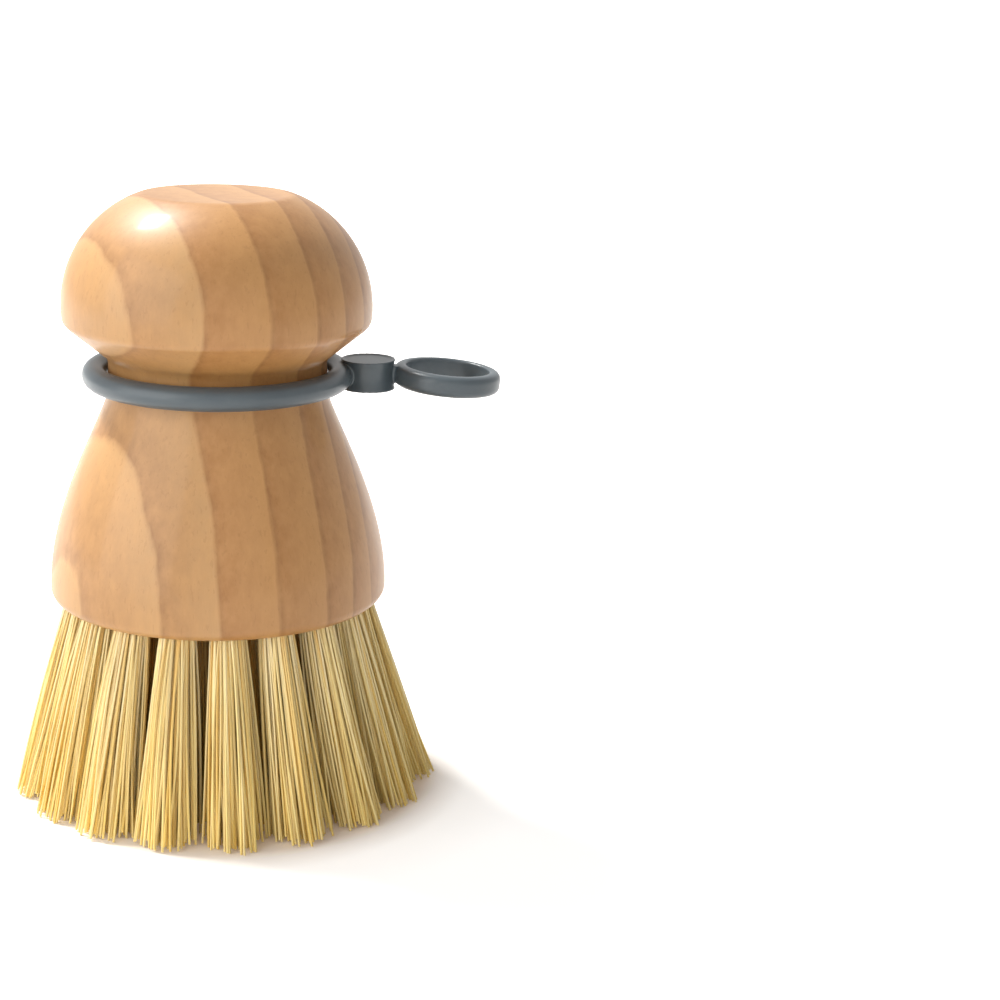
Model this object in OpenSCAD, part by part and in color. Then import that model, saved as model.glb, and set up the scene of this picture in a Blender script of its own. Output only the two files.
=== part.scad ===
// Palm brush: a turned wooden handle with a round knob, a waist and a bell,
// tufts of plant fibre anchored in drilled holes under the bell,
// and a soft ring with a hanging loop that turns round the waist.
// Millimetres. +Z is up, and the origin is on the brush's axis at the fibre tips.

/* [Knob] */
// Widest diameter of the knob
knob_d = 51.2; // [46:0.1:60]
// Height of the knob above its lower corner
knob_h = 21; // [17:0.5:24]
// Height of the widest ring of the knob above its lower corner
knob_wide_up = 2.5; // [1.5:0.5:4]
// Reach of the knob's side curve, inwards from the widest ring
dome_w = 19.6; // [15:0.1:22]
// Diameter of the knob's flat top
flat_d = 25; // [18:0.5:30]
// Height of the sloping underside of the knob
underside_h = 6; // [4:0.5:9]
// Rounding of the knob's lower corner
corner_round = 2; // [1:0.1:2.4]
// Rounding where the knob's side meets its flat top
top_round = 4; // [1:0.5:6]

/* [Waist] */
// Diameter of the waist, the slimmest part of the handle
waist_d = 36.2; // [30:0.1:38]
// Height of the straight waist
waist_h = 5; // [4.4:0.1:8]
// Rounding where the waist meets the underside of the knob
waist_round = 2; // [0.5:0.1:3]

/* [Bell] */
// Widest diameter of the bell
bell_d = 56.4; // [56:0.1:66]
// Height of the bell, from its rim to the waist
bell_h = 36; // [30:0.5:46]
// Height above the rim at which the bell is widest
bell_wide_up = 2; // [2:0.1:4]
// Pull of the bell's curve down from the waist
flare_top = 4; // [2:0.1:8]
// Pull of the bell's curve up from its widest ring
flare_bottom = 15; // [8:0.5:20]
// Rounding of the bell's rim
rim_round = 2; // [0.5:0.1:2]

/* [Fibre tufts] */
// Length of fibre below the bell's rim
fibre_l = 33; // [22:0.5:44]
// Diameter of each drilled tuft hole
hole_d = 5.6; // [5.4:0.1:6]
// Depth of each drilled tuft hole
hole_depth = 8; // [6:0.5:12]
// Flat wood left between the rim's rounding and the outer row of holes
rim_wall = 0.4; // [0.2:0.1:1]
// How far the outer row leans out, from the rim to the tips
splay = 7.8; // [5:0.1:10]
// Radius of a tuft's outer ring of strands at its tip
tuft_spread = 4; // [2.6:0.1:4.2]
// Half the diagonal of one square strand
strand_r = 0.5; // [0.3:0.01:0.52]

/* [Tuft anchors] */
// Length of each flat wire anchor
anchor_l = 6.8; // [6.2:0.1:7.2]
// Width of each flat wire anchor
anchor_w = 1.8; // [1:0.1:2.4]
// Thickness of each flat wire anchor
anchor_t = 0.35; // [0.2:0.05:0.6]

/* [Ring and loop] */
// Thickness of the ring's round section
ring_t = 4; // [3:0.1:4.2]
// Gap between the ring and the waist
ring_gap = 0.3; // [0.1:0.05:0.6]
// Height of the ring's middle above the foot of the waist
ring_up = 2.1; // [1.6:0.1:2.2]
// Diameter of the boss that joins the ring to its loop
boss_d = 9.2; // [8:0.1:10]
// Height of the boss
boss_h = 5; // [4.4:0.1:5.2]
// How far the boss is drawn in at mid-height
boss_waist = 0.6; // [0.2:0.05:1]
// Depth of the dished ends of the boss
boss_dish = 0.2; // [0.1:0.05:0.5]
// Width of the raised lip round each dished end
boss_lip = 0.5; // [0.4:0.1:1]
// How far the boss reaches into the ring's section
boss_in = 2; // [0.8:0.05:2.5]
// Length of the web between the boss and the loop
web_l = 0.35; // [0.2:0.05:2]
// Width of the web, seen from above
web_w = 2.6; // [1.5:0.1:4]
// Diameter of the hanging hole
loop_hole_d = 14; // [10:0.1:20]
// Thickness of the loop's band, seen from above
loop_t = 2; // [1.5:0.1:3]
// Height of the loop's band
loop_h = 3.6; // [3:0.1:4.4]
// Rounding of the loop's outer edges
loop_round = 1.2; // [0.4:0.1:1.4]
// Rounding of the loop's inner edges
loop_edge = 0.4; // [0.2:0.1:0.6]
// Angle by which the loop droops
loop_droop = 4.5; // [0:0.5:10]

/* [Hidden] */
// Tufts in each row, from the rim inwards
outer_count = 18;
middle_count = 12;
inner_count = 6;
// Turn of each row's first tuft, measured from the front of the brush
outer_turn = 3;
middle_turn = 12;
inner_turn = 27;
// Strands in each ring of a tuft, round one in the middle
ring_strands = [4, 8];
// Clearance of a tuft's root in its hole and round its anchor
root_gap = 0.05;
// Depth of the root's end inside the mouth of its hole
root_in = 0.7;
// Length of a strand that is set in its root
strand_in = 2;
// Distance by which strands run past the cut that trims them flat
trim = 0.5;
// Gap between the anchor's upper edge and the root's far end
fold_h = 1.2;
// Sides of a fine curve, and steps along a rounded corner and each curved side
fine = 96;
steps = 3;
knob_steps = 8;
bell_steps = 6;
boss_steps = 8;
// Part of the knob's side that each of its two roundings takes up, in degrees
edge_angle = 6;
// A margin that lets a cut run clear of a surface
over = 1;

knob_r = knob_d / 2;
waist_r = waist_d / 2;
bell_r = bell_d / 2;
rim_z = fibre_l;
waist_z = rim_z + bell_h;
foot_z = waist_z + waist_h;
corner_z = foot_z + underside_h;
wide_z = corner_z + knob_wide_up;
top_z = corner_z + knob_h;
// The knob's side is an arc of an ellipse through the widest ring and the edge of the flat top
dome_x = knob_r - dome_w;
top_x = flat_d / 2;
top_angle = acos((top_x - dome_x) / dome_w);
dome_h = (top_z - wide_z) / sin(top_angle);
corner_angle = -asin(knob_wide_up / dome_h);

hole_r = hole_d / 2;
// The rows of tufts are evenly spaced between the centre and the outer row
outer_root = bell_r - rim_round - rim_wall - hole_r;
outer_tip = outer_root + splay;
middle_root = outer_root * 2 / 3;
middle_tip = outer_tip * 2 / 3;
inner_root = outer_root / 3;
inner_tip = outer_tip / 3;
root_r = hole_r - root_gap;
root_ring = root_r - strand_r - root_gap;
anchor_z = hole_depth - root_gap - fold_h - anchor_w / 2;

ring_r = ring_t / 2;
ring_z = waist_z + ring_up;
ring_mid = waist_r + ring_gap + ring_r;
boss_r = boss_d / 2;
boss_x = ring_mid + ring_r + boss_r - boss_in;
web_x = boss_x + boss_r - boss_waist;
loop_hole_r = loop_hole_d / 2;
loop_r = loop_hole_r + loop_t;
loop_out = web_l + loop_r;

function number(i) = i < 10 ? str("0", i) : str(i);
function row_names(row, count) = [for (i = [1:count]) str("tuft_", row, "_", number(i))];
outer_names = row_names("outer", outer_count);
middle_names = row_names("middle", middle_count);
inner_names = row_names("inner", inner_count);

// A point at a radius and an angle
function polar(r, a) = [r * cos(a), r * sin(a)];
function unit(v) = v / norm(v);

// Points of the round that softens the corner p between a and b
function rounded(a, p, b, r) =
    let (u = unit(a - p), v = unit(b - p), half = acos(u * v) / 2)
    let (centre = p + unit(u + v) * r / sin(half))
    let (s = p + u * r / tan(half) - centre, e = p + v * r / tan(half) - centre)
    let (from = atan2(s[1], s[0]), sweep = atan2(e[1], e[0]) - from)
    let (turn = sweep > 180 ? sweep - 360 : sweep < -180 ? sweep + 360 : sweep)
    [for (i = [0:steps]) centre + polar(r, from + turn * i / steps)];

// A point of a smooth curve from a to d, pulled towards b and c
function curve(a, b, c, d, t) =
    pow(1 - t, 3) * a + 3 * pow(1 - t, 2) * t * b + 3 * (1 - t) * t * t * c + t * t * t * d;

// Profile of the handle, from the middle of the top down to the middle of the rim
function dome_point(a) = [dome_x + dome_w * cos(a), wide_z + dome_h * sin(a)];
function dome_side() =
    let (high = top_angle - edge_angle, low = corner_angle + edge_angle)
    [for (i = [0:knob_steps]) dome_point(high + (low - high) * i / knob_steps)];
corner = dome_point(corner_angle);
foot = [waist_r, foot_z];
function bell_side() =
    let (a = [waist_r, waist_z], d = [bell_r, rim_z + bell_wide_up])
    [for (i = [0:bell_steps])
        curve(a, a - [0, flare_top], d + [0, flare_bottom], d, i / bell_steps)];
handle_profile = concat(
    [[0, top_z]],
    rounded([0, top_z], dome_point(top_angle), dome_point(top_angle - edge_angle), top_round),
    dome_side(),
    rounded(dome_point(corner_angle + edge_angle), corner, foot, corner_round),
    rounded(corner, foot, [waist_r, waist_z], waist_round),
    bell_side(),
    rounded([bell_r, rim_z + bell_wide_up + over], [bell_r, rim_z], [0, rim_z], rim_round),
    [[0, rim_z]]);

// Children are placed on a tuft's axis: root at the rim, +Z into the wood
module on_tuft(root, tip, angle) {
    lean = atan((tip - root) / fibre_l);
    rotate([0, 0, angle - 90]) translate([root, 0, rim_z]) rotate([0, -lean, 0]) children();
}

// Children are placed on every tuft's axis
module on_every_tuft() {
    for (i = [0:outer_count - 1])
        on_tuft(outer_root, outer_tip, outer_turn + i * 360 / outer_count) children();
    for (i = [0:middle_count - 1])
        on_tuft(middle_root, middle_tip, middle_turn + i * 360 / middle_count) children();
    for (i = [0:inner_count - 1])
        on_tuft(inner_root, inner_tip, inner_turn + i * 360 / inner_count) children();
    on_tuft(0, 0, 0) children();
}

module handle() {
    color([0.80, 0.62, 0.43])
    difference() {
        rotate_extrude($fn = 2 * fine) polygon(handle_profile);
        on_every_tuft() translate([0, 0, -hole_r])
            cylinder(r = hole_r, h = hole_r + hole_depth, $fn = fine);
    }
}

// The flat wire across the fold of each tuft, driven in so that its ends bite into the wood
module tuft_anchors() {
    color([0.62, 0.60, 0.56])
    on_every_tuft()
        translate([0, 0, anchor_z]) cube([anchor_t, anchor_l, anchor_w], center = true);
}

// One square strand from point a to point b
module strand(a, b) {
    d = b - a;
    translate(a) rotate([0, acos(d[2] / norm(d)), atan2(d[1], d[0])])
        cylinder(r = strand_r, h = norm(d), $fn = 4);
}

// Places of the strands across a tuft, in parts of its radius
strand_places = concat([[0, 0]], [for (ring = [0:1]) for (i = [0:ring_strands[ring] - 1])
    polar((ring + 1) / 2, (i + 0.5) * 360 / ring_strands[ring])]);

// A tuft: fibre folded round its anchor, fanning from a packed root to a flat cut
module tuft(root, tip, angle) {
    lean = atan((tip - root) / fibre_l);
    far = (fibre_l + trim) / cos(lean);
    window = [anchor_t + 2 * root_gap, hole_d + over, anchor_w + 2 * root_gap];
    color([0.90, 0.78, 0.47])
    difference() {
        on_tuft(root, tip, angle) difference() {
            union() {
                translate([0, 0, root_in])
                    cylinder(r = root_r, h = hole_depth - root_gap - root_in, $fn = fine);
                for (p = strand_places)
                    strand([p[0] * root_ring, p[1] * root_ring, root_in + strand_in],
                        [p[0] * tuft_spread, p[1] * tuft_spread, -far - trim]);
            }
            translate([0, 0, anchor_z]) cube(window, center = true);
        }
        translate([-bell_d, -bell_d, -fibre_l]) cube([2 * bell_d, 2 * bell_d, fibre_l]);
    }
}

// The boss: a round pillar drawn in at mid-height, with a shallow dish in each end
module boss() {
    arc_r = (pow(boss_h / 2, 2) + pow(boss_waist, 2)) / (2 * boss_waist);
    reach = asin(boss_h / 2 / arc_r);
    side = [for (i = [0:boss_steps])
        [boss_r - boss_waist + arc_r, 0] - polar(arc_r, reach * (1 - 2 * i / boss_steps)) ];
    difference() {
        rotate_extrude($fn = fine) polygon(concat([[0, boss_h / 2], [0, -boss_h / 2]], side));
        for (s = [-1, 1])
            translate([0, 0, s * (boss_h / 2 + over / 2 - boss_dish / 2)])
                cylinder(r = boss_r - boss_lip, h = over + boss_dish, center = true, $fn = fine);
    }
}

// The loop: a band with a straight inner wall and rounded outer edges
module loop() {
    top = loop_h / 2;
    outer = [loop_r, 0];
    band = concat(
        rounded([loop_hole_r, 0], [loop_hole_r, top], [loop_r, top], loop_edge),
        rounded([loop_hole_r, top], [loop_r, top], outer, loop_round),
        rounded(outer, [loop_r, -top], [loop_hole_r, -top], loop_round),
        rounded([loop_r, -top], [loop_hole_r, -top], [loop_hole_r, 0], loop_edge));
    rotate_extrude($fn = fine) polygon(band);
}

// The web: it runs from inside the boss to the middle of the loop's band
module web() {
    far = web_l + loop_t / 2;
    translate([-boss_waist, -web_w / 2, loop_edge - loop_h / 2])
        cube([far + boss_waist, web_w, loop_h - 2 * loop_edge]);
}

// The soft ring round the waist, moulded in one with its boss and hanging loop
module hang_ring() {
    color([0.36, 0.40, 0.43])
    translate([0, 0, ring_z]) {
        rotate_extrude($fn = 2 * fine) translate([ring_mid, 0]) circle(r = ring_r, $fn = fine);
        translate([boss_x, 0, 0]) boss();
        translate([web_x, 0, 0]) rotate([0, loop_droop, 0]) {
            translate([loop_out, 0, 0]) loop();
            web();
        }
    }
}

// Least gap between two strands of a tuft, at the root and at the tip
function least_step(r) = min([for (a = strand_places) for (b = strand_places)
    a == b ? r : norm(a - b) * r]);
echo(gap_at_root = least_step(root_ring) - 2 * strand_r);
echo(gap_at_tip = least_step(tuft_spread) - 2 * strand_r);
// Least gap between neighbouring tufts of the outer row, at the rim and at the tips
function row_gap(r, count, tuft_r) = 2 * r * sin(180 / count) - 2 * tuft_r;
echo(row_gap_at_rim = row_gap(outer_root, outer_count, hole_r));
echo(row_gap_at_tips = row_gap(outer_tip, outer_count, tuft_spread + strand_r));

handle();
hang_ring();
tuft_anchors();
for (i = [0:outer_count - 1])
    tuft(outer_root, outer_tip, outer_turn + i * 360 / outer_count);
for (i = [0:middle_count - 1])
    tuft(middle_root, middle_tip, middle_turn + i * 360 / middle_count);
for (i = [0:inner_count - 1])
    tuft(inner_root, inner_tip, inner_turn + i * 360 / inner_count);
tuft(0, 0, 0);  // tuft_centre
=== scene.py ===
"""The looks of a palm brush: a turned wooden handle, tufts of plant fibre and a soft hanging ring."""
import math
import random

import bmesh
import bpy
import numpy as np
from mathutils import Matrix, Vector


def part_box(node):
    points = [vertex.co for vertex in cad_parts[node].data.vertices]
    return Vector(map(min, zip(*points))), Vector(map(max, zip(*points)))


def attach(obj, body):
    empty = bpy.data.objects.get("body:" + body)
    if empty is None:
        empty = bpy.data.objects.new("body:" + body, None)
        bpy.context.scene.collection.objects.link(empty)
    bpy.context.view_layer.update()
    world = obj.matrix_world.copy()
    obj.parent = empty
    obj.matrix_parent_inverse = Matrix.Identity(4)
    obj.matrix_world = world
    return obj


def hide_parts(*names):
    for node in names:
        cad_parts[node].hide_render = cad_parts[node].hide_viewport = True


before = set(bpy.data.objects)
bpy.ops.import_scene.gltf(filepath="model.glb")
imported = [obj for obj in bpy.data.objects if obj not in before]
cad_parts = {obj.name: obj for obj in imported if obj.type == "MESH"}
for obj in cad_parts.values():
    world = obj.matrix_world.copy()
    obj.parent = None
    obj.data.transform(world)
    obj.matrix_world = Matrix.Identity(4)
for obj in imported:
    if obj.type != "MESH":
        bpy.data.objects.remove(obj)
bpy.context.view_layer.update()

# Sizes are in millimetres unless their names say otherwise, and meshes are made in metres
MM = 0.001

# Camera, fitted to the photograph
AIM_Z = 44.98
CAMERA_DISTANCE = 383.9
CAMERA_PITCH = math.radians(15.78)
CAMERA_ROLL = math.radians(-0.41)
LENS = 80.83
SENSOR_W = 36
PICTURE_PX = 1000
LOOK_RIGHT_PX = 281.0
LOOK_UP_PX = 21.7
CLIP_M = (0.01, 20)

# Handle
KNOB_R = 25.6
KNOB_H = 21.0
KNOB_WIDE_UP = 2.5
DOME_W = 19.6
FLAT_R = 12.5
TOP_ROUND = 4.0
UNDERSIDE_H = 6.0
CORNER_ROUND = 2.0
WAIST_R = 18.1
WAIST_H = 5.0
WAIST_ROUND = 2.0
BELL_R = 28.2
BELL_H = 36.0
BELL_WIDE_UP = 2.0
FLARE_TOP = 4.0
FLARE_BOTTOM = 15.0
RIM_ROUND = 2.0
RIM_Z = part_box("handle")[0].z / MM
WAIST_Z = RIM_Z + BELL_H
FOOT_Z = WAIST_Z + WAIST_H
CORNER_Z = FOOT_Z + UNDERSIDE_H
WIDE_Z = CORNER_Z + KNOB_WIDE_UP
TOP_Z = CORNER_Z + KNOB_H
EDGE_ANGLE = math.radians(6)
TURNED_SEGMENTS = 288
ROUND_STEPS = 16
KNOB_STEPS = 60
FLARE_STEPS = 70
FLAT_POINTS = 8
FLAT_SHARE = 0.9
RIM_INSET = 0.2
HANDLE_SHARP_DEG = 35

# Tufts
HOLE_R = 2.8
HOLE_DEPTH = 8.0
HOLE_SIDES = 40
OUTER_ROOT = 23.0
SPLAY = 7.8
# Each row's count, its share of the outer row's radius and its first angle in degrees
ROWS = {"outer": (18, 1.0, 3.0), "middle": (12, 2 / 3, 12.0),
        "inner": (6, 1 / 3, 27.0), "centre": (1, 0.0, 0.0)}
SEED = 7
FIBRES = 150
FIBRE_R = 0.19
TIP_R = 0.2
FIBRE_START = 3.0
FIBRE_GAP = 0.03
FIBRE_SHARP_DEG = 50
# How far a tuft fans out and leans over, and how much tufts and fibres differ from each other
TUFT_SPREAD = 5.4
SPREAD_SHARES = (0.92, 1.06)
SWEEP = 0.6
SWEEP_VARIES = 0.25
TURN_VARIES_RAD = 0.15
REACH_SHARES = (0.74, 1.05)
STRAY_RAD = 0.28
BOW = 0.3
THICK_SHARES = (0.85, 1.15)
# The cut: the gap under the longest fibre, how much a whole tuft or one fibre may be shorter,
# and a power that keeps the short fibres few
TIP_GAP = 0.05
TUFT_SHORTER = (0, 0.2)
FIBRE_SHORTER = 1.0
FEW_SHORT = 2.4
# Tones of the strands, from 0 for brown to 1 for pale straw. The inner tufts take the darker,
# browner tones as painted shade between the tufts
OUTER_TONES = (0.32, 1.0)
INNER_TONES_PAINTED_SHADE = (0.04, 0.44)
STATIONS = np.linspace(0, 1, 7)
FIBRE_ANGLES = np.linspace(0, 2 * math.pi, 5, endpoint=False)

# Ring, boss and loop
RING_R = 2.0
RING_MID = 20.4
RING_Z = WAIST_Z + 2.1
RING_SIDES = 40
BOSS_R = 4.6
BOSS_H = 5.0
BOSS_X = 25.0
BOSS_WAIST = 0.6
BOSS_DISH = 0.2
BOSS_LIP = 0.5
DISH_SIDE = 0.15
BOSS_SEGMENTS = 120
BOSS_SIDE_POINTS = 25
LOOP_HOLE_R = 7.0
LOOP_T = 2.0
LOOP_H = 3.6
LOOP_ROUND = 1.2
LOOP_ROUND_STEPS = 8
LOOP_EDGE = 0.4
LOOP_EDGE_STEPS = 6
LOOP_SEGMENTS = 160
LOOP_DROOP = math.radians(4.5)
WEB_L = 0.35
WEB_W = 2.6
VOXEL = 0.2
SOFTEN_SHARE = 0.5
SOFTEN_TIMES = 4
RING_SHARP_DEG = 180

# Wood. The late edges of the growth rings lie at these distances across the grain, and the rings
# that start left of the side set below are drawn paler and greyer: painted sheen from the left light
RING_EDGES = (-37, -28.5, -20.5, -11.8, -2.5, 6.2, 12.4, 17.4, 23.6, 30.5, 38)
GRAIN_TURN = math.radians(23)
GRAIN_TILT = 0.03
GRAIN_LEVEL = 80.0
GRAIN_SPAN = 80.0
PAINTED_SHEEN_SIDE = -15.0
PAINTED_SHEEN = (1.0, 1.14, 1.4)
# Where a growth ring's colours stand on the ramp: the first two after its start, the last before its end
LINE_AFTER, LATE_AFTER, EARLY_BEFORE = 0.002, 0.013, 0.003
# Noises: scale, detail, roughness, and the scale along the grain as a share of that across it
SWAY = (38, 2, 0.5, 0.55)
SHIVER = (900, 3, 0.5, 0.2)
CLOUD = (70, 4, 0.55, 0.4)
FIGURE = (480, 4, 0.6, 0.6)
FLECK = (1700, 3, 0.6, 0.3)
FINE = (2600, 4, 0.7, 0.1)
SWAY_W = 5.0
SHIVER_W = 0.5
CLOUD_SHARE = 0.4
FIGURE_BASE, FIGURE_SPAN = -0.35, 1.1
FLECK_OVER = 0.62
FLECK_SHARE = 0.14
FINE_SHARE = 0.24

# Noises of the other materials, with their numbers in the same order
FIBRE_STREAK = (1800, 3, 0.6, 0.06)
SILICONE_CLOUD = (260, 4, 0.6)
SILICONE_GRAIN = (5200, 3, 0.6)
WIRE_DRAWN = (900, 3, 0.6, 8)
FLOOR_CLOUD = (30, 2, 0.5)
GOLDEN_SHARE = 0.5
STREAK_SHARE = 0.2

# Colours, as 0 to 255 values on screen
LINE_WOOD = (142, 94, 47)
LATE_WOOD = (165, 114, 61)
EARLY_WOOD = (198, 148, 90)
CLOUD_WOOD = (181, 129, 72)
FIGURE_WOOD = (208, 157, 98)
FLECK_WOOD = (128, 80, 40)
FINE_WOOD = (152, 100, 50)
# The brown end of this ramp serves mostly the inner tufts, as painted shade
STRANDS = [(0.0, (176, 112, 44)), (0.26, (226, 184, 108)), (0.52, (250, 232, 172)), (1.0, (254, 243, 202))]
GOLDEN_TIP = (253, 220, 102)
STREAK = (206, 150, 70)
SILICONE = ((72, 82, 89), (86, 96, 101))
WIRE = ((168, 164, 156), (196, 192, 184))
FLOOR_TINTS = ((232, 229, 226), (237, 234, 231))

# Studio. Each light has a name, the direction it stands in, its distance and size in metres,
# its watts and its colour
LIGHTS = [("key", (-0.416, 0.40, 0.816), 1.1, (0.24, 0.18), 17, (1, 0.985, 0.96)),
          ("left_front", (-1, -0.55, 0.4), 1.2, (1.3, 1.2), 11.5, (1, 0.99, 0.97)),
          ("front", (0.1, -1, 0.2), 1.4, (1.4, 1.2), 2.6, (1, 0.98, 0.95))]
LIGHT_AIM_Z = 60.0
SKY_LEFT = 0.42
SKY_RIGHT = 0.24
SKY_SEEN = 1.0
FLOOR_HALF_M = 6.0
# How strongly the floor glows for the camera, by the distance in metres from the brush's axis.
# The first stops, dark brown, paint a shadow in a narrow ring round the bristle tips
FLOOR_GLOW_AND_PAINTED_SHADOW = [(0.035, (0.12, 0.075, 0.045)), (0.042, (0.5, 0.49, 0.48)), (0.055, (0.57, 0.57, 0.57)),
              (0.12, (0.58, 0.58, 0.6)), (0.5, (1, 1, 1))]


def make_camera():
    """The photograph's viewpoint, aimed at the axis and then turned until the brush stands on the left."""
    data = bpy.data.cameras.new("camera")
    data.sensor_width = SENSOR_W
    data.lens = LENS
    data.clip_start, data.clip_end = CLIP_M
    camera = link("camera", data)
    focal_px = data.lens / data.sensor_width * PICTURE_PX
    back = Vector((0, -math.cos(CAMERA_PITCH), math.sin(CAMERA_PITCH)))
    place = Matrix.Translation(Vector((0, 0, AIM_Z * MM)) + back * (CAMERA_DISTANCE * MM))
    facing = (-back).to_track_quat("-Z", "Y").to_matrix().to_4x4()
    turn = Matrix.Rotation(-math.atan(LOOK_RIGHT_PX / focal_px), 4, "Y")
    lift = Matrix.Rotation(math.atan(LOOK_UP_PX / focal_px), 4, "X")
    roll = Matrix.Rotation(CAMERA_ROLL, 4, "Z")
    camera.matrix_world = place @ facing @ turn @ lift @ roll
    bpy.context.scene.camera = camera


def link(name, data):
    piece = bpy.data.objects.new(name, data)
    bpy.context.scene.collection.objects.link(piece)
    return piece


def mesh_from(name, points, faces):
    """A mesh from points in millimetres."""
    mesh = bpy.data.meshes.new(name)
    mesh.from_pydata((np.asarray(points, float) * MM).tolist(), [], faces)
    mesh.update()
    return mesh


def arc_point(centre, radius, angle):
    return np.array(centre, float) + radius * np.array([math.cos(angle), math.sin(angle)])


def rounded(a, corner, b, radius, steps=ROUND_STEPS):
    """Points of the round that softens a corner between a and b."""
    a, corner, b = (np.array(p, float) for p in (a, corner, b))
    u = (a - corner) / np.linalg.norm(a - corner)
    v = (b - corner) / np.linalg.norm(b - corner)
    half = math.acos(float(u @ v)) / 2
    centre = corner + (u + v) / np.linalg.norm(u + v) * radius / math.sin(half)
    start = corner + u * radius / math.tan(half) - centre
    end = corner + v * radius / math.tan(half) - centre
    first = math.atan2(start[1], start[0])
    sweep = (math.atan2(end[1], end[0]) - first + math.pi) % (2 * math.pi) - math.pi
    return [arc_point(centre, radius, first + sweep * i / steps) for i in range(steps + 1)]


def curve(a, b, c, d, steps):
    """Points of the cubic curve from a to d that leaves towards b and arrives from c."""
    a, b, c, d = (np.array(p, float) for p in (a, b, c, d))
    return [(1 - t) ** 3 * a + 3 * (1 - t) ** 2 * t * b + 3 * (1 - t) * t * t * c + t**3 * d
            for t in (i / steps for i in range(steps + 1))]


def handle_profile():
    """Half of the handle's outline, from the middle of the top to the middle of the rim."""
    dome_x = KNOB_R - DOME_W
    top_angle = math.acos((FLAT_R - dome_x) / DOME_W)
    dome_h = (TOP_Z - WIDE_Z) / math.sin(top_angle)
    corner_angle = -math.asin(KNOB_WIDE_UP / dome_h)

    def dome(angle):
        return np.array([dome_x + DOME_W * math.cos(angle), WIDE_Z + dome_h * math.sin(angle)])

    def level(start, end, z):
        return [np.array([r, z]) for r in np.linspace(start, end, FLAT_POINTS)]

    high, low = top_angle - EDGE_ANGLE, corner_angle + EDGE_ANGLE
    corner, foot, waist = dome(corner_angle), (WAIST_R, FOOT_Z), (WAIST_R, WAIST_Z)
    widest = (BELL_R, RIM_Z + BELL_WIDE_UP)
    flare_start = (WAIST_R, WAIST_Z - FLARE_TOP)
    flare_end = (BELL_R, widest[1] + FLARE_BOTTOM)
    return (level(0, FLAT_R * FLAT_SHARE, TOP_Z)
            + rounded((0, TOP_Z), dome(top_angle), dome(high), TOP_ROUND)
            + [dome(high + (low - high) * i / KNOB_STEPS) for i in range(KNOB_STEPS + 1)]
            + rounded(dome(low), corner, foot, CORNER_ROUND)
            + rounded(corner, foot, waist, WAIST_ROUND)
            + curve(waist, flare_start, flare_end, widest, FLARE_STEPS)
            + rounded((BELL_R, WAIST_Z), (BELL_R, RIM_Z), (0, RIM_Z), RIM_ROUND)
            + level(BELL_R - RIM_ROUND - RIM_INSET, 0, RIM_Z))


def lathe(name, profile, segments, closed=False):
    """Turns a profile of (radius, height) points round the Z axis. A closed profile makes a ring."""
    points, rows = [], []
    angles = np.linspace(0, 2 * math.pi, segments, endpoint=False)
    for r, z in profile:
        if r == 0:
            rows.append([len(points)] * segments)
            points.append((0, 0, z))
        else:
            rows.append(list(range(len(points), len(points) + segments)))
            points += [(r * math.cos(a), r * math.sin(a), z) for a in angles]
    faces = []
    for upper, lower in zip(rows, rows[1:] + rows[:1] if closed else rows[1:]):
        for i in range(segments):
            j = (i + 1) % segments
            corners = list(dict.fromkeys([upper[i], lower[i], lower[j], upper[j]]))
            if len(corners) > 2:
                faces.append(corners)
    return mesh_from(name, points, faces)


def tuft_matrix(root, tip, angle_deg):
    """A tuft's axis in metres: its origin at the rim, +Z into the wood."""
    lean = math.atan((tip - root) / RIM_Z)
    return (Matrix.Rotation(math.radians(angle_deg - 90), 4, "Z")
            @ Matrix.Translation((root * MM, 0, RIM_Z * MM)) @ Matrix.Rotation(-lean, 4, "Y"))


def all_tufts():
    """Each tuft's CAD node with the radius of its root, the radius of its tip and its angle."""
    for row, (count, share, first) in ROWS.items():
        for i in range(count):
            node = "tuft_centre" if row == "centre" else f"tuft_{row}_{i + 1:02d}"
            yield node, OUTER_ROOT * share, (OUTER_ROOT + SPLAY) * share, first + i * 360 / count


def smooth(mesh, angle_deg):
    """Smooth shading, with edges above the angle left sharp."""
    for polygon in mesh.polygons:
        polygon.use_smooth = True
    mesh.set_sharp_from_angle(angle=math.radians(angle_deg))


def apply_modifiers(piece):
    graph = bpy.context.evaluated_depsgraph_get()
    done = bpy.data.meshes.new_from_object(piece.evaluated_get(graph))
    piece.modifiers.clear()
    old, piece.data = piece.data, done
    bpy.data.meshes.remove(old)


def make_drills():
    """One mesh of all the tuft holes, each long enough to come out of the wood."""
    drills = bmesh.new()
    middle = Matrix.Translation((0, 0, (HOLE_DEPTH - HOLE_R) / 2 * MM))
    for _, root, tip, angle in all_tufts():
        bmesh.ops.create_cone(drills, cap_ends=True, segments=HOLE_SIDES, radius1=HOLE_R * MM,
                              radius2=HOLE_R * MM, depth=(HOLE_DEPTH + HOLE_R) * MM,
                              matrix=tuft_matrix(root, tip, angle) @ middle)
    mesh = bpy.data.meshes.new("drills")
    drills.to_mesh(mesh)
    drills.free()
    return link("drills", mesh)


def make_handle():
    """The turned handle, with the tuft holes drilled into its underside."""
    piece = link("handle_turned", lathe("handle_turned", handle_profile(), TURNED_SEGMENTS))
    drills = make_drills()
    cut = piece.modifiers.new("drill", "BOOLEAN")
    cut.operation, cut.solver, cut.object = "DIFFERENCE", "EXACT", drills
    apply_modifiers(piece)
    bpy.data.objects.remove(drills)
    smooth(piece.data, HANDLE_SHARP_DEG)
    piece.data.materials.clear()
    piece.data.materials.append(wood_material())
    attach(piece, "brush")
    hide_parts("handle")


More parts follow.
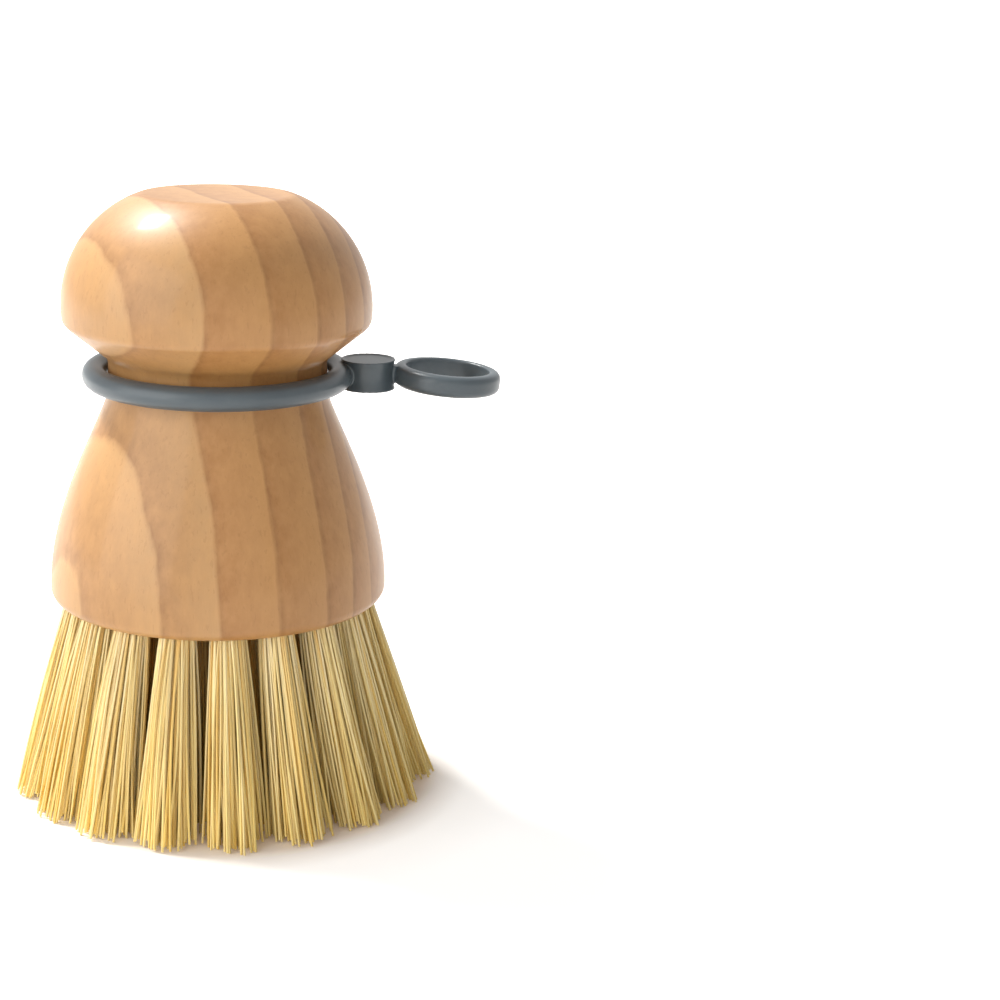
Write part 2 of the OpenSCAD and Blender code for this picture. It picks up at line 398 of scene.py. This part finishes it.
def fibre_path(share, around, spread, length, sweep, dice):
    """A fibre's middle line in its tuft's own axes, from inside the hole to the floor."""
    start_r = (HOLE_R - FIBRE_R - FIBRE_GAP) * share
    end_r = spread * share * dice.uniform(*REACH_SHARES)
    end_around = around + dice.uniform(-STRAY_RAD, STRAY_RAD)
    start = np.array([start_r * math.cos(around), start_r * math.sin(around), FIBRE_START])
    end = np.array([end_r * math.cos(end_around), end_r * math.sin(end_around), -length])
    bow = np.array([dice.gauss(0, BOW), dice.gauss(0, BOW), 0])
    return np.array([start + (end - start) * s + bow * math.sin(math.pi * s) + sweep * s * s
                     for s in STATIONS])


def cut_path(path, height):
    """Ends a path at the height given, along its last stretch."""
    drop = (path[-1, 2] - height) / (path[-1, 2] - path[-2, 2])
    path[-1] += (path[-2] - path[-1]) * drop


def fibre_faces(base):
    """The faces of one closed fibre whose points start at base."""
    sides = len(FIBRE_ANGLES)
    last = base + (len(STATIONS) - 1) * sides
    faces = []
    for low in range(base, last, sides):
        for a in range(sides):
            b = (a + 1) % sides
            faces.append([low + a, low + b, low + sides + b, low + sides + a])
    faces.append([last + a for a in range(sides)])
    faces.append([base + a for a in reversed(range(sides))])
    return faces


def make_tuft(node, root, tip, angle, dice, material):
    """One tuft of fine fibres that fan out from their hole, each slightly bowed and cut to its own length."""
    place = np.array(tuft_matrix(root, tip, angle))
    turn, shift = place[:3, :3], place[:3, 3] / MM
    length = math.hypot(RIM_Z, tip - root)
    sweep = turn.T @ np.array([SWEEP + dice.gauss(0, SWEEP_VARIES), dice.gauss(0, SWEEP_VARIES), 0])
    spread = TUFT_SPREAD * dice.uniform(*SPREAD_SHARES)
    shorter = dice.uniform(*TUFT_SHORTER)
    # The inner tufts take darker tones: painted shade between the tufts
    tone_range_with_painted_shade = OUTER_TONES if root == OUTER_ROOT else INNER_TONES_PAINTED_SHADE
    points, faces, tones, alongs = [], [], [], []
    for i in range(FIBRES):
        share = math.sqrt((i + 0.5) / FIBRES)
        around = i * math.pi * (3 - math.sqrt(5)) + dice.uniform(-TURN_VARIES_RAD, TURN_VARIES_RAD)
        path = fibre_path(share, around, spread, length, sweep, dice) @ turn.T + shift
        cut_path(path, TIP_GAP + shorter + FIBRE_SHORTER * dice.random() ** FEW_SHORT)
        thick = dice.uniform(*THICK_SHARES)
        tone = dice.uniform(*tone_range_with_painted_shade)
        faces += fibre_faces(len(points))
        for s, centre in zip(STATIONS, path):
            radius = thick * (FIBRE_R + (TIP_R - FIBRE_R) * s)
            for a in FIBRE_ANGLES:
                points.append(centre + radius * (turn[:, 0] * math.cos(a) + turn[:, 1] * math.sin(a)))
                tones.append(tone)
                alongs.append(s)
    mesh = mesh_from(node + "_fibres", points, faces)
    for name, values in (("tone", tones), ("along", alongs)):
        layer = mesh.attributes.new(name, "FLOAT", "POINT")
        layer.data.foreach_set("value", np.array(values, np.float32))
    smooth(mesh, FIBRE_SHARP_DEG)
    mesh.materials.append(material)
    piece = link(node + "_fibres", mesh)
    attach(piece, "brush")
    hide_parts(node)


def make_tufts():
    dice = random.Random(SEED)
    material = fibre_material()
    for node, root, tip, angle in all_tufts():
        make_tuft(node, root, tip, angle, dice, material)


def tube_profile():
    return [arc_point((RING_MID, 0), RING_R, a)
            for a in np.linspace(0, -2 * math.pi, RING_SIDES, endpoint=False)]


def boss_profile():
    """Half of the boss's outline: a side drawn in at mid-height and a shallow dish in each end."""
    half, dish_r = BOSS_H / 2, BOSS_R - BOSS_LIP
    arc = (half**2 + BOSS_WAIST**2) / (2 * BOSS_WAIST)
    reach = math.asin(half / arc)
    side = [(BOSS_R - BOSS_WAIST + arc - arc * math.cos(a), -arc * math.sin(a))
            for a in np.linspace(-reach, reach, BOSS_SIDE_POINTS)]
    top = [(0, half - BOSS_DISH), (dish_r - DISH_SIDE, half - BOSS_DISH), (dish_r, half)]
    return top + side + [(r, -z) for r, z in reversed(top)]


def loop_profile():
    """The loop's section, with small rounds towards its hole and larger ones outside."""
    half, inner, outer = LOOP_H / 2, LOOP_HOLE_R, LOOP_HOLE_R + LOOP_T
    return (rounded((inner, 0), (inner, half), (outer, half), LOOP_EDGE, LOOP_EDGE_STEPS)
            + rounded((inner, half), (outer, half), (outer, 0), LOOP_ROUND, LOOP_ROUND_STEPS)
            + rounded((outer, 0), (outer, -half), (inner, -half), LOOP_ROUND, LOOP_ROUND_STEPS)
            + rounded((outer, -half), (inner, -half), (inner, 0), LOOP_EDGE, LOOP_EDGE_STEPS))


def joined_moulding():
    """The ring, the boss, the loop and the web between boss and loop, as meshes that overlap."""
    joined = bmesh.new()
    ring_place = Matrix.Translation((0, 0, RING_Z * MM))
    boss_place = ring_place @ Matrix.Translation((BOSS_X * MM, 0, 0))
    web_place = (ring_place @ Matrix.Translation(((BOSS_X + BOSS_R - BOSS_WAIST) * MM, 0, 0))
                 @ Matrix.Rotation(LOOP_DROOP, 4, "Y"))
    loop_place = web_place @ Matrix.Translation(((WEB_L + LOOP_HOLE_R + LOOP_T) * MM, 0, 0))
    for mesh, place in ((lathe("tube", tube_profile(), TURNED_SEGMENTS, closed=True), ring_place),
                        (lathe("boss", boss_profile(), BOSS_SEGMENTS), boss_place),
                        (lathe("loop", loop_profile(), LOOP_SEGMENTS, closed=True), loop_place)):
        mesh.transform(place)
        joined.from_mesh(mesh)
        bpy.data.meshes.remove(mesh)
    web_reach = BOSS_WAIST + WEB_L + LOOP_T / 2
    web_size = Matrix.Diagonal((web_reach * MM, WEB_W * MM, (LOOP_H - 2 * LOOP_EDGE) * MM, 1))
    web_middle = Matrix.Translation(((web_reach / 2 - BOSS_WAIST) * MM, 0, 0))
    bmesh.ops.create_cube(joined, size=1, matrix=web_place @ web_middle @ web_size)
    bmesh.ops.recalc_face_normals(joined, faces=joined.faces)
    mesh = bpy.data.meshes.new("hang_ring_moulded")
    joined.to_mesh(mesh)
    joined.free()
    return mesh


def make_ring():
    """The soft ring, its boss and its loop, run together as one moulding."""
    piece = link("hang_ring_moulded", joined_moulding())
    remesh = piece.modifiers.new("remesh", "REMESH")
    remesh.mode, remesh.voxel_size = "VOXEL", VOXEL * MM
    soften = piece.modifiers.new("soften", "SMOOTH")
    soften.factor, soften.iterations = SOFTEN_SHARE, SOFTEN_TIMES
    apply_modifiers(piece)
    smooth(piece.data, RING_SHARP_DEG)
    piece.data.materials.clear()
    piece.data.materials.append(ring_material())
    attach(piece, "ring")
    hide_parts("hang_ring")


def linear(r, g, b):
    """A colour written as 0 to 255 values on screen, in the renderer's linear scale."""
    return tuple((c / 255 / 12.92) if c < 10.3 else (((c / 255) + 0.055) / 1.055) ** 2.4 for c in (r, g, b))


class Nodes:
    """A node tree, with short calls to add and join nodes."""

    def __init__(self, tree, out):
        self.tree = tree
        self.tree.nodes.clear()
        self.out = self.add(out)

    def add(self, kind, **settings):
        node = self.tree.nodes.new(kind)
        for key, value in settings.items():
            setattr(node, key, value)
        return node

    def put(self, value, socket):
        """Joins an output to the socket, or sets the socket to a number or a colour."""
        if hasattr(value, "is_output"):
            self.tree.links.new(value, socket)
        elif isinstance(value, tuple):
            socket.default_value = (*value, 1)
        else:
            socket.default_value = value

    def place(self):
        return self.add("ShaderNodeTexCoord").outputs["Object"]

    def math(self, operation, *values):
        node = self.add("ShaderNodeMath", operation=operation)
        for socket, value in zip(node.inputs, values):
            self.put(value, socket)
        return node.outputs[0]

    def noise(self, vector, scale, detail, rough, along=1):
        """Noise that is drawn out along the Z axis where along is under 1."""
        node = self.add("ShaderNodeTexNoise")
        node.inputs["Scale"].default_value = scale
        node.inputs["Detail"].default_value = detail
        node.inputs["Roughness"].default_value = rough
        if along != 1:
            stretch = self.add("ShaderNodeMapping")
            stretch.inputs["Scale"].default_value = (1, 1, along)
            self.put(vector, stretch.inputs["Vector"])
            vector = stretch.outputs[0]
        self.put(vector, node.inputs["Vector"])
        return node.outputs[0]

    def ramp(self, value, stops):
        node = self.add("ShaderNodeValToRGB")
        elements = node.color_ramp.elements
        while len(elements) > 1:
            elements.remove(elements[0])
        for i, (position, colour) in enumerate(stops):
            element = elements[0] if i == 0 else elements.new(position)
            element.position = position
            element.color = (*colour, 1)
        self.put(value, node.inputs[0])
        return node.outputs[0]

    def mix(self, factor, a, b):
        node = self.add("ShaderNodeMix", data_type="RGBA")
        for socket, value in ((node.inputs[0], factor), (node.inputs[6], a), (node.inputs[7], b)):
            self.put(value, socket)
        return node.outputs[2]

    def varied(self, value, base, span):
        """A number that goes from base, where the value is 0, to base and span, where it is 1."""
        return self.math("MULTIPLY_ADD", value, span, base)

    def tinted(self, colour, mask, share, tint):
        """The colour with that share of a tint where the mask is 1."""
        return self.mix(self.math("MULTIPLY", mask, share), colour, linear(*tint))

    def surface(self, colour, roughness, **sockets):
        """A Principled shader joined to the output. A socket's name is given with _ for a space."""
        shader = self.add("ShaderNodeBsdfPrincipled")
        self.put(colour, shader.inputs["Base Color"])
        self.put(roughness, shader.inputs["Roughness"])
        for name, value in sockets.items():
            self.put(value, shader.inputs[name.replace("_", " ")])
        self.put(shader.outputs[0], self.out.inputs[0])

    def bump(self, height, strength, depth):
        node = self.add("ShaderNodeBump")
        node.inputs["Strength"].default_value = strength
        node.inputs["Distance"].default_value = depth * MM
        self.put(height, node.inputs["Height"])
        return node.outputs[0]

    def seen(self):
        """1 where the camera sees the surface, straight or in a mirror or through glass."""
        path = self.add("ShaderNodeLightPath").outputs
        mirrored = self.math("MAXIMUM", path["Is Camera Ray"], path["Is Glossy Ray"])
        return self.math("MAXIMUM", mirrored, path["Is Transmission Ray"])


def new_material(name):
    material = bpy.data.materials.new(name)
    material.use_nodes = True
    return material, Nodes(material.node_tree, "ShaderNodeOutputMaterial")


def across_grain(n, place):
    """How far a point lies across the slightly wavy growth rings, in metres."""
    axes = n.add("ShaderNodeSeparateXYZ")
    n.put(place, axes.inputs[0])
    x, y, z = axes.outputs
    across = n.math("MULTIPLY_ADD", x, math.cos(GRAIN_TURN), n.math("MULTIPLY", y, math.sin(GRAIN_TURN)))
    across = n.math("MULTIPLY_ADD", n.math("SUBTRACT", z, GRAIN_LEVEL * MM), GRAIN_TILT, across)
    for noise, width in ((SWAY, SWAY_W), (SHIVER, SHIVER_W)):
        wave = n.math("SUBTRACT", n.noise(place, *noise), 0.5)
        across = n.math("MULTIPLY_ADD", wave, width * MM, across)
    return across


def growth_rings():
    """Colour stops over the grain: each ring starts as a dark line and pales until the next."""
    stops = []
    for start, end in zip(RING_EDGES, RING_EDGES[1:]):
        a, b = start / GRAIN_SPAN + 0.5, end / GRAIN_SPAN + 0.5
        # Rings on the left side are drawn paler and greyer: painted sheen
        sheen_gain = PAINTED_SHEEN if start < PAINTED_SHEEN_SIDE else (1, 1, 1)
        for position, wood in ((a + LINE_AFTER, LINE_WOOD), (a + LATE_AFTER, LATE_WOOD),
                               (b - EARLY_BEFORE, EARLY_WOOD)):
            stops.append((position, tuple(c * p for c, p in zip(linear(*wood), sheen_gain))))
    return stops


def wood_material():
    """Pale hardwood: growth rings that darken at once and fade slowly, fine flecks and a satin lacquer."""
    material, n = new_material("wood")
    place = n.place()
    share = n.math("ADD", n.math("DIVIDE", across_grain(n, place), GRAIN_SPAN * MM), 0.5)
    cloud, fine = n.noise(place, *CLOUD), n.noise(place, *FINE)
    figure = n.varied(n.noise(place, *FIGURE), FIGURE_BASE, FIGURE_SPAN)
    fleck = n.math("GREATER_THAN", n.noise(place, *FLECK), FLECK_OVER)
    colour = n.ramp(share, growth_rings())
    colour = n.tinted(colour, cloud, CLOUD_SHARE, CLOUD_WOOD)
    colour = n.mix(figure, colour, linear(*FIGURE_WOOD))
    colour = n.tinted(colour, fleck, FLECK_SHARE, FLECK_WOOD)
    colour = n.tinted(colour, fine, FINE_SHARE, FINE_WOOD)
    n.surface(colour, n.varied(cloud, base=0.42, span=0.12), Specular_IOR_Level=0.5,
              Coat_Weight=0.25, Coat_Roughness=0.13, Normal=n.bump(fine, strength=0.12, depth=0.05))
    return material


def fibre_material():
    """Stiff plant fibre: straw at the root, golden towards the cut tip, each strand of its own tone; the
    inner tufts' darker tones are painted shade.
    """
    material, n = new_material("plant_fibre")
    tone = n.add("ShaderNodeAttribute", attribute_name="tone").outputs["Fac"]
    along = n.add("ShaderNodeAttribute", attribute_name="along").outputs["Fac"]
    streak = n.noise(n.place(), *FIBRE_STREAK)
    colour = n.ramp(tone, [(position, linear(*strand)) for position, strand in STRANDS])
    colour = n.tinted(colour, along, GOLDEN_SHARE, GOLDEN_TIP)
    colour = n.tinted(colour, streak, STREAK_SHARE, STREAK)
    n.surface(colour, n.varied(streak, base=0.36, span=0.2), Specular_IOR_Level=0.3,
              Normal=n.bump(streak, strength=0.25, depth=0.03))
    return material


def ring_material():
    """Slate grey silicone with a satin, very slightly mottled skin."""
    material, n = new_material("soft_ring")
    place = n.place()
    grain = n.noise(place, *SILICONE_GRAIN)
    colour = n.mix(n.noise(place, *SILICONE_CLOUD), *(linear(*grey) for grey in SILICONE))
    n.surface(colour, n.varied(grain, base=0.28, span=0.12), Specular_IOR_Level=0.5,
              Normal=n.bump(grain, strength=0.1, depth=0.02))
    return material


def wire_material():
    """Plain drawn wire."""
    material, n = new_material("anchor_wire")
    drawn = n.noise(n.place(), *WIRE_DRAWN)
    colour = n.mix(drawn, *(linear(*grey) for grey in WIRE))
    n.surface(colour, n.varied(drawn, base=0.3, span=0.2), Metallic=1)
    return material


def dress_anchors():
    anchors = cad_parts["tuft_anchors"]
    anchors.data.materials.clear()
    anchors.data.materials.append(wire_material())


def floor_material():
    """Pale floor that the camera sees as white, with the object's shadow kept, a painted brown shadow round
    the bristle tips, and clear from below.
    """
    material, n = new_material("floor")
    place = n.place()
    diffuse = n.add("ShaderNodeBsdfDiffuse")
    n.put(n.mix(n.noise(place, *FLOOR_CLOUD), *(linear(*tint) for tint in FLOOR_TINTS)), diffuse.inputs[0])
    away = n.add("ShaderNodeVectorMath", operation="LENGTH")
    n.put(place, away.inputs[0])
    glow_and_painted_shadow = n.add("ShaderNodeEmission")
    # Close to the tips the glow is dark brown: painted shadow
    n.put(n.ramp(away.outputs["Value"], FLOOR_GLOW_AND_PAINTED_SHADOW), glow_and_painted_shadow.inputs["Color"])
    n.put(n.seen(), glow_and_painted_shadow.inputs["Strength"])
    total = n.add("ShaderNodeAddShader")
    n.put(diffuse.outputs[0], total.inputs[0])
    n.put(glow_and_painted_shadow.outputs[0], total.inputs[1])
    sides = n.add("ShaderNodeMixShader")
    n.put(n.add("ShaderNodeNewGeometry").outputs["Backfacing"], sides.inputs[0])
    n.put(total.outputs[0], sides.inputs[1])
    n.put(n.add("ShaderNodeBsdfTransparent").outputs[0], sides.inputs[2])
    n.put(sides.outputs[0], n.out.inputs[0])
    return material


def make_stage():
    """A wide pale floor under soft studio light."""
    half = FLOOR_HALF_M / MM
    corners = [(-half, -half, 0), (half, -half, 0), (half, half, 0), (-half, half, 0)]
    mesh = mesh_from("floor", corners, [(0, 1, 2, 3)])
    mesh.materials.append(floor_material())
    floor = link("floor", mesh)


def area_light(name, toward, distance, size, watts, colour):
    """A soft light that stands in the direction given, seen from the middle of the brush."""
    middle = Vector((0, 0, LIGHT_AIM_Z * MM))
    data = bpy.data.lights.new(name, "AREA")
    data.shape, data.size, data.size_y = "RECTANGLE", *size
    data.energy, data.color = watts, colour
    lamp = link(name, data)
    lamp.location = middle + Vector(toward).normalized() * distance
    lamp.rotation_euler = (middle - lamp.location).to_track_quat("-Z", "Y").to_euler()


def make_sky():
    """An even sky that lights less from the right, and that the camera sees as white."""
    world = bpy.data.worlds.new("studio")
    world.use_nodes = True
    n = Nodes(world.node_tree, "ShaderNodeOutputWorld")
    toward = n.add("ShaderNodeSeparateXYZ")
    n.put(n.add("ShaderNodeTexCoord").outputs["Generated"], toward.inputs[0])
    level = n.add("ShaderNodeMix")
    n.put(n.seen(), level.inputs[0])
    middle, half_span = (SKY_RIGHT + SKY_LEFT) / 2, (SKY_RIGHT - SKY_LEFT) / 2
    n.put(n.varied(toward.outputs["X"], middle, half_span), level.inputs[2])
    n.put(SKY_SEEN, level.inputs[3])
    background = n.add("ShaderNodeBackground")
    n.put((1, 1, 1), background.inputs["Color"])
    n.put(level.outputs[0], background.inputs["Strength"])
    n.put(background.outputs[0], n.out.inputs[0])
    bpy.context.scene.world = world


make_camera()
make_handle()
make_tufts()
make_ring()
dress_anchors()
make_stage()
for light in LIGHTS:
    area_light(*light)
make_sky()
bpy.context.scene.view_settings.view_transform = "Standard"
